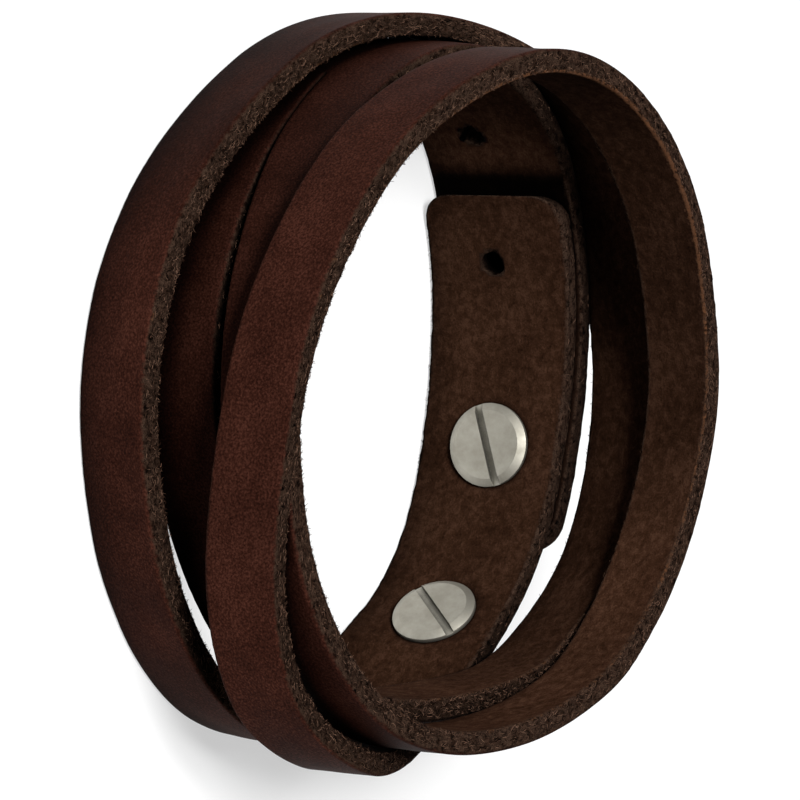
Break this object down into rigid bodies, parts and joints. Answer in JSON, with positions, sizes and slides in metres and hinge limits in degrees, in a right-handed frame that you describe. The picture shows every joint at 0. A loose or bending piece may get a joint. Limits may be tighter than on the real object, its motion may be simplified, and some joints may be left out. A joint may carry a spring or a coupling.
{
  "type": "leather bracelet",
  "caption": "Double-wrap leather bracelet: a thick band slit lengthwise into strips that lie over each other, its overlapped ends held by slotted screws. It lies on its side.",
  "frame": {"origin": "on the surface that the bracelet lies on, under the middle of its outline", "axes": "+Z is the axis of the wrist opening, from the rim that lies down to the open rim; +X points at the overlapped ends and their screws; +Y is a quarter turn on from them, along the longest way across"},
  "size_m": [0.073, 0.076, 0.0336],
  "materials": {
    "leather": "dark red-brown, smooth grain outside, brown flesh side inside, raw fuzzy cut edges",
    "nickel": "satin nickel plate with fine scratches"
  },
  "bodies": {
    "root": {"leather_band": "leather", "slotted_screw_upper": "nickel", "slotted_screw_lower": "nickel", "post_upper": "nickel", "post_lower": "nickel"}
  },
  "joints": []
}
